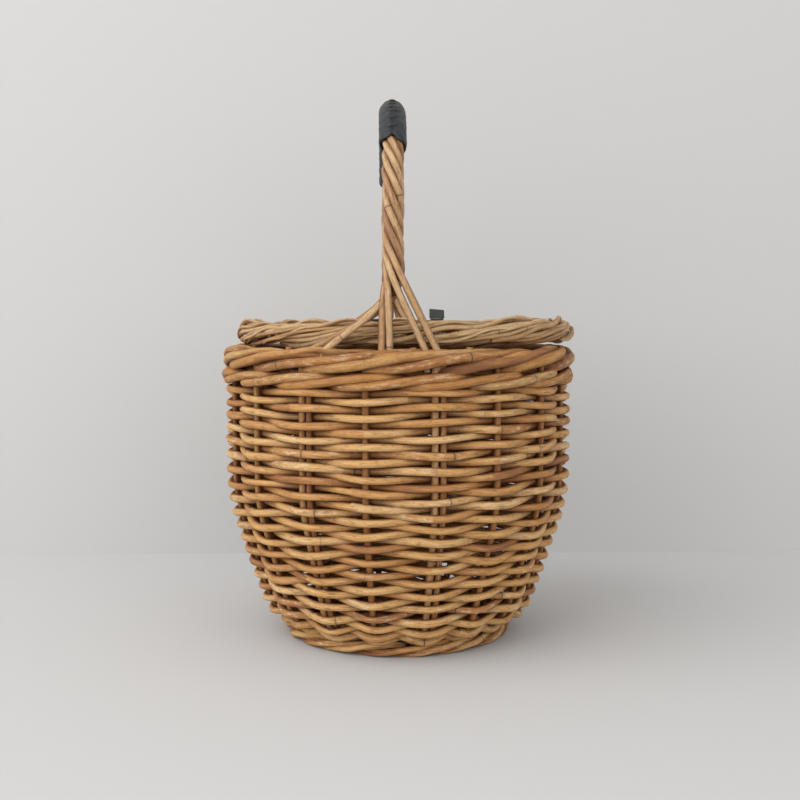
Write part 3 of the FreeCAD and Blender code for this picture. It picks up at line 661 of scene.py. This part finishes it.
seam = lips - 0.0007 * np.exp(-((side_run / 0.0004) ** 2))
lumps = 0.00016 * np.cos(6 * (turns[None] + 2 * math.pi * TURNS * grid_run / bow_run[-1]))
crease = 0.00010 * np.sin(grid_run * 900 + 2.2 * np.sin(turns[None] * 2 + grid_run * 60))
near_edge = np.clip(1 - (places - sleeve_start) / 0.001, 0, 1)
far_edge = np.clip(1 - (sleeve_end - places) / 0.001, 0, 1)
round_off = 0.0005 * (near_edge + far_edge)
radius = SLEEVE - 0.0001 + pucker + seam[None] + lumps + crease - round_off[:, None]


def on_bow(run, turn, radius):
    """A place round the bow's middle line; turn 0 is on the outside of the bow."""
    run, turn, radius = np.broadcast_arrays(run, turn, radius)
    middle = np.stack([np.interp(run, bow_run, bow[:, k]) for k in range(3)], axis=-1)
    out = np.stack([np.interp(run, bow_run, bow_out[:, k]) for k in range(3)], axis=-1)
    side = np.array([1.0, 0, 0])
    return middle + radius[..., None] * (np.cos(turn)[..., None] * out + np.sin(turn)[..., None] * side)


leather_points = on_bow(grid_run, turns[None], radius)
hems = [
    on_bow(grid_run[end] + way * deep, turns, radius[end] - HEM_THICK)[None]
    for end, way, deep in ((0, 1, HEM_DEEP), (0, 1, 0.0001), (-1, -1, 0.0001), (-1, -1, HEM_DEEP))
]
rings = np.concatenate([*hems[:2], leather_points, *hems[2:]])
count = len(rings)
index = np.arange(count * sides).reshape(count, sides)
after = np.roll(index, -1, axis=1)
faces = np.stack([index[:-1], index[1:], after[1:], after[:-1]], axis=-1).reshape(-1, 4).tolist()
faces += [index[0].tolist(), index[-1][::-1].tolist()]
mesh = bpy.data.meshes.new("handle_sleeve_leather")
mesh.from_pydata(rings.reshape(-1, 3), [], faces)
mesh.polygons.foreach_set("use_smooth", [True] * len(faces))
hide = mesh.attributes.new("hide", "FLOAT_VECTOR", "POINT")
spread = np.zeros((count, sides, 3))
spread[..., 0] = np.cos(turns) * SLEEVE
spread[..., 1] = np.sin(turns) * SLEEVE
hem_places = [places[0] + HEM_DEEP, places[0]], [places[-1], places[-1] - HEM_DEEP]
spread[..., 2] = np.concatenate([hem_places[0], places, hem_places[1]])[:, None]
hide.data.foreach_set("vector", spread.astype(np.float32).ravel())
sleeve = bpy.data.objects.new("handle_sleeve_leather", mesh)
bpy.context.scene.collection.objects.link(sleeve)


def leather(name, colour, worn, attribute=None, scale=1.0):
    """Thin glazed leather: fine grain, soft creases, and paler, duller places where it is rubbed."""
    material = bpy.data.materials.new(name)
    material.use_nodes = True
    tree = material.node_tree
    shader = tree.nodes["Principled BSDF"]
    start = Socket(tree, None)
    if attribute:
        place = start.node("ShaderNodeAttribute", {"attribute_name": attribute}, {}, 1)
    else:
        place = start.node("ShaderNodeTexCoord", {}, {}, 3)
    cell = {"Vector": place, "Scale": 1700.0 * scale, "Randomness": 1.0}
    pebble = start.node("ShaderNodeTexVoronoi", {"feature": "DISTANCE_TO_EDGE"}, cell)
    pores = start.cloud(place, 2600.0 * scale, 2.0)
    folds = start.cloud(place, 170.0 * scale, 4.0, 0.6)
    rubbed = start.cloud(place, 45.0 * scale, 3.0, 0.6)
    tint = (rubbed.between(0.46, 0.7) * 0.6).choose(colour, worn)
    tint = (pebble.between(0.16, 0.02) * 0.45).choose(tint, (0.012, 0.013, 0.014))
    rough = 0.36 + rubbed * 0.16 + pores * 0.10
    height = pebble.between(0.0, 0.22) * 0.5 + folds * 0.8 + pores * 0.1
    bump = start.node("ShaderNodeBump", {}, {"Strength": 0.45, "Distance": 0.00025, "Height": height})
    tree.links.new(tint.out, shader.inputs["Base Color"])
    tree.links.new(rough.out, shader.inputs["Roughness"])
    tree.links.new(bump.out, shader.inputs["Normal"])
    shader.inputs["Specular IOR Level"].default_value = 0.5
    return material


sleeve_leather = leather("sleeve_leather", (0.0068, 0.0090, 0.0125), (0.018, 0.023, 0.030), "hide")
mesh.materials.append(sleeve_leather)
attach(sleeve, "basket")
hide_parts("handle_sleeve")

# ---- Sleeve lacing
# Waxed dark thread crosses the seam in short bars, one at each pucker, and dips into a hole at both ends.

THREAD = 0.00036
STITCH_REACH = 0.30
lacing_heap = []
for run in np.arange(sleeve_start + STITCH_PITCH, sleeve_end - 0.006, STITCH_PITCH):
    turn = np.linspace(-STITCH_REACH, STITCH_REACH, 24)
    rise = 0.00012 - 0.0010 * (np.abs(turn) / STITCH_REACH) ** 6
    line = on_bow(run + 0.0004 * np.sin(turn * 9), turn, SLEEVE + 0.0002 + rise)
    lean = on_bow(run, turn, 1.0) - on_bow(run, turn, 0.0)
    lay_rod(lacing_heap, line, THREAD, lean=lean, sides=6, step=0.0006, tone=0.5)
lacing = leather("waxed_thread", (0.018, 0.020, 0.022), (0.05, 0.055, 0.06), "grain", 0.02)
rods_piece("sleeve_lacing_thread", lacing_heap, lacing, "basket", ["sleeve_lacing"])

# ---- Lid
# Nine thinner rods cross in the middle of the lid and fan out; finer straw-coloured rods are woven round them.
# The edge is a border of many thin rods rolled over each other, and the whole lid is a little oval.

PALE_STRAW = [
    (0.0, (0.20, 0.10, 0.045)),
    (0.22, (0.38, 0.215, 0.095)),
    (0.5, (0.51, 0.335, 0.165)),
    (0.75, (0.60, 0.435, 0.24)),
    (1.0, (0.70, 0.56, 0.36)),
]
lid_wicker = wicker("lid_wicker", PALE_STRAW, (0.46, 0.24, 0.11), flaky=0.3)
LID_X = 0.119
LID_Y = 0.1095
LID_MIDDLE = 0.2153
LID_SHIFT = 0.005
LID_TILT = 0.010


def on_lid(line):
    """Sets a line of the lid a little to the right, and raises the lid's right side off the rim."""
    line = line + [LID_SHIFT, 0, 0]
    line[:, 2] += (line[:, 0] + LID_X - LID_SHIFT) * LID_TILT
    return line


lid_stick_heap = []
for count, level, heading in ((4, -1, 90.0), (5, 1, 0.0)):
    for k in range(count):
        ray = math.radians(20 * (k - (count - 1) / 2))
        side = 0.0044 * (k - (count - 1) / 2)
        knee = abs(side / math.tan(ray)) if ray else 0.010
        far = 0.0995 if heading == 0 else 0.0900
        corners = [(-far * math.cos(ray), far * math.sin(ray), 0), (-knee, side, 0), (knee, side, 0)]
        corners.append((far * math.cos(ray), far * math.sin(ray), 0))
        line = bent_line(corners, [0.010, 0.010])
        line = turned(line, math.radians(heading))
        lift = np.clip((0.028 - np.hypot(line[:, 0], line[:, 1])) / 0.010, 0, 1)
        line[:, 2] = LID_MIDDLE + level * 0.0021 * lift * lift * (3 - 2 * lift)
        # away points up, so painted shade falls on the sides of the lid sticks
        lay_rod(lid_stick_heap, on_lid(line), 0.0020, away=line * 0 + [0, 0, 1])
lid_nodes = [f"lid_stick_{k}" for k in range(1, 10)]
rods_piece("lid_sticks", lid_stick_heap, lid_wicker, "lid", lid_nodes)

lid_heap = []
reach = 0.0195
front = True
while reach < 0.1035:
    rod = 0.00145 + 0.0004 * min(1.0, (reach - 0.0195) / 0.03)
    swing = chance.uniform(0, 2 * math.pi, 4)
    at = int(chance.integers(0, 9)) * 2 + (0 if front else 1)
    passed = 0
    while passed < 18:
        count = min(int(chance.choice((4, 6, 8))), 18 - passed)
        first = math.radians(10) + RAY_STEP * (at + passed) - 0.2 * RAY_STEP
        turn = np.linspace(first, first + RAY_STEP * (count + 0.4), int(50 * (count + 1)))
        wave = np.cos(9 * (turn - math.radians(10))) * (1 if front else -1)
        wave = np.sign(wave) * np.abs(wave) ** (0.85 if reach < 0.06 else 0.7)
        loose = np.sin(3 * turn + swing[0]) + 0.8 * np.sin(7 * turn + swing[1]) + 0.5 * np.sin(12 * turn + swing[2])
        sway = 0.00035 * loose
        line = around(turn, reach + sway, LID_MIDDLE + (0.0020 + rod) * wave)
        line[:, 1] *= 1 - reach / 0.104 * (1 - 0.0945 / 0.104)
        # painted shade where a lid rod crosses between its high and low places, and on its sides, as away points up
        deep = np.clip(0.3 - 0.35 * np.abs(wave), 0, 1)
        size = rod * chance.uniform(0.92, 1.08)
        lay_rod(lid_heap, on_lid(line), size, thin=0.9, sides=7, deep=deep, away=line * 0 + [0, 0, 1])
        passed += count
    front = not front
    reach += rod * 1.93
rods_piece("lid_weave_rods", lid_heap, lid_wicker, "lid", ["lid_weave"])

lid_edge_heap = []
squeeze = (1.0, LID_Y / LID_X)
lid_ring = (LID_X - 0.0076, LID_MIDDLE)
for count, span, half, lift, rod, angles, tones, begin, rough in (
    (38, math.radians(100), 0.0054, 0.0055, 0.00165, (-110, 165), (0.1, 1.0), 0.0, 0.14),
    (19, math.radians(58), 0.0062, 0.0063, 0.00145, (-50, 130), (0.2, 1.0), 0.1, 0.2),
):
    roll_border(lid_edge_heap, count, span, lid_ring, half, lift, rod, angles, tones, begin, squeeze, 7, rough)
for rod in lid_edge_heap:
    rod["points"] = on_lid(rod["points"])
rods_piece("lid_border_rods", lid_edge_heap, lid_wicker, "lid", ["lid_border"])

# ---- Hinge straps
# Two strips of dark leather go through the rim's border, up behind the lid and flat on to its top, one each
# side of the handle's far root. The end of the right strip stands up as a short tab. The bend is the hinge.

strap_leather = leather("strap_leather", (0.020, 0.026, 0.023), (0.05, 0.06, 0.054))
STRAP_THICK = 0.0016
STRAP_WIDE = 0.010
RIM_SHELF = 0.2073
LID_TOP = 0.2233
for word in ("left", "right"):
    low_corner, high_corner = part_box(f"hinge_strap_rim_{word}")
    lid_low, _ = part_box(f"hinge_strap_lid_{word}")
    middle = (low_corner[0] + high_corner[0]) / 2
    rise = low_corner[1] + STRAP_THICK / 2
    drop = high_corner[1] - STRAP_THICK / 2
    shelf = RIM_SHELF + STRAP_THICK / 2
    top = LID_TOP + STRAP_THICK / 2 + (middle + LID_X - LID_SHIFT) * LID_TILT
    tab = lid_low[1] + 0.0118
    route = [(drop, low_corner[2]), (drop, shelf), (rise, shelf), (rise, top), (lid_low[1], top)]
    line = bent_line(route, [0.0016, 0.0016, 0.0022], 0.0008)
    pieces = [(f"hinge_strap_{word}", line)]
    if word == "right":
        route = [(tab - 0.006, top + STRAP_THICK), (tab, top + STRAP_THICK), (tab + 0.0014, top + 0.0078)]
        pieces.append(("hinge_tab_right", bent_line(route, [0.0012], 0.0008)))
    for name, path in pieces:
        along = np.gradient(path, axis=0)
        along /= np.linalg.norm(along, axis=1)[:, None]
        out = np.stack([along[:, 1], -along[:, 0]], axis=1)
        shares = np.array([-1, -0.97, -0.88, -0.5, 0, 0.5, 0.88, 0.97, 1])
        half = np.array([0.35, 0.75, 1, 0.94, 0.9, 0.94, 1, 0.75, 0.35]) * STRAP_THICK / 2
        section = [(s, h) for s, h in zip(shares, half)] + [(s, -h) for s, h in zip(shares[::-1], half[::-1])]
        rings = []
        wide = STRAP_WIDE * (0.6 if name == "hinge_tab_right" else 0.5)
        for spot, away in zip(path, out):
            skew = min(0.14, 20 * max(0.0, spot[1] - top - STRAP_THICK)) if name == "hinge_tab_right" else 0.0
            rings.append([
                (middle + s * wide, spot[0] + away[0] * h, spot[1] + away[1] * h - s * wide * skew) for s, h in section
            ])
        rings = np.array(rings)
        for end in (0, -1):
            centre = rings[end].mean(axis=0)
            rings[end] = centre + (rings[end] - centre) * [0.96, 0.6, 0.6]
        count, sides = rings.shape[:2]
        index = np.arange(count * sides).reshape(count, sides)
        after = np.roll(index, -1, axis=1)
        faces = np.stack([index[:-1], after[:-1], after[1:], index[1:]], axis=-1).reshape(-1, 4).tolist()
        faces += [index[0][::-1].tolist(), index[-1].tolist()]
        mesh = bpy.data.meshes.new(name)
        mesh.from_pydata(rings.reshape(-1, 3), [], faces)
        mesh.materials.append(strap_leather)
        strap = bpy.data.objects.new(name, mesh)
        bpy.context.scene.collection.objects.link(strap)
        bpy.context.view_layer.objects.active = strap
        bpy.ops.object.select_all(action="DESELECT")
        strap.select_set(True)
        bpy.ops.object.mode_set(mode="EDIT")
        bpy.ops.mesh.select_all(action="SELECT")
        bpy.ops.mesh.normals_make_consistent(inside=False)
        bpy.ops.object.mode_set(mode="OBJECT")
        bpy.ops.object.shade_smooth_by_angle(angle=math.radians(50))
        strap.select_set(False)
        if name.startswith("hinge_strap"):
            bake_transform(strap)
            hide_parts(f"hinge_strap_rim_{word}", f"hinge_strap_lid_{word}")
        else:
            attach(strap, "lid")

# ---- Floor, wall, light and camera
# A pale matt floor and wall, a large soft window light from the left, and a plain fill.
# The wall is painted on its front only, and is clear from the back.

WALL_AT = 0.265
for name, tint, corners in (
    ("floor", (0.575, 0.573, 0.571, 1), [(-3, -3, 0), (3, -3, 0), (3, 3, 0), (-3, 3, 0)]),
    ("backdrop", (0.565, 0.564, 0.561, 1), [(-3, WALL_AT, 0), (3, WALL_AT, 0), (3, WALL_AT, 3), (-3, WALL_AT, 3)]),
):
    mesh = bpy.data.meshes.new(name)
    mesh.from_pydata(corners, [], [(0, 1, 2, 3)])
    plane = bpy.data.objects.new(name, mesh)
    bpy.context.scene.collection.objects.link(plane)
    paint = bpy.data.materials.new(name + "_paint")
    paint.use_nodes = True
    shader = paint.node_tree.nodes["Principled BSDF"]
    shader.inputs["Base Color"].default_value = tint
    shader.inputs["Roughness"].default_value = 0.9
    shader.inputs["Specular IOR Level"].default_value = 0.1
    if name == "backdrop":
        front = 1 - Socket(paint.node_tree, None).node("ShaderNodeNewGeometry", {}, {}, 6)
        paint.node_tree.links.new(front.out, shader.inputs["Alpha"])
    mesh.materials.append(paint)

for name, place, aim, size, power in (
    ("window_light", (-1.5, -1.0, 1.35), (0, 0, 0.15), 2.6, 38.0),
    ("front_fill", (0.7, -1.9, 0.9), (0, 0, 0.15), 1.8, 9.0),
):
    lamp = bpy.data.lights.new(name, "AREA")
    lamp.size = size
    lamp.energy = power
    light = bpy.data.objects.new(name, lamp)
    bpy.context.scene.collection.objects.link(light)
    light.location = place
    heading = np.array(aim) - np.array(place)
    light.rotation_euler = (
        math.acos(-heading[2] / np.linalg.norm(heading)), 0, math.atan2(-heading[0], heading[1])
    )
world = bpy.data.worlds.new("room") if bpy.context.scene.world is None else bpy.context.scene.world
bpy.context.scene.world = world
world.use_nodes = True
world.node_tree.nodes["Background"].inputs["Color"].default_value = (1.0, 0.985, 0.965, 1)
world.node_tree.nodes["Background"].inputs["Strength"].default_value = 0.83

CAMERA_TURN = math.radians(-0.95)
CAMERA_DROP = math.radians(4.09)
CAMERA_AWAY = 0.83
camera_data = bpy.data.cameras.new("camera")
camera_data.lens = 51.6
camera_data.sensor_width = 36
camera = bpy.data.objects.new("camera", camera_data)
bpy.context.scene.collection.objects.link(camera)
camera.location = (CAMERA_AWAY * math.sin(CAMERA_TURN) + 0.0017, -CAMERA_AWAY * math.cos(CAMERA_TURN), 0.2265)
camera.rotation_euler = (math.pi / 2 - CAMERA_DROP, 0, CAMERA_TURN)
bpy.context.scene.camera = camera
bpy.context.scene.view_settings.view_transform = "Standard"
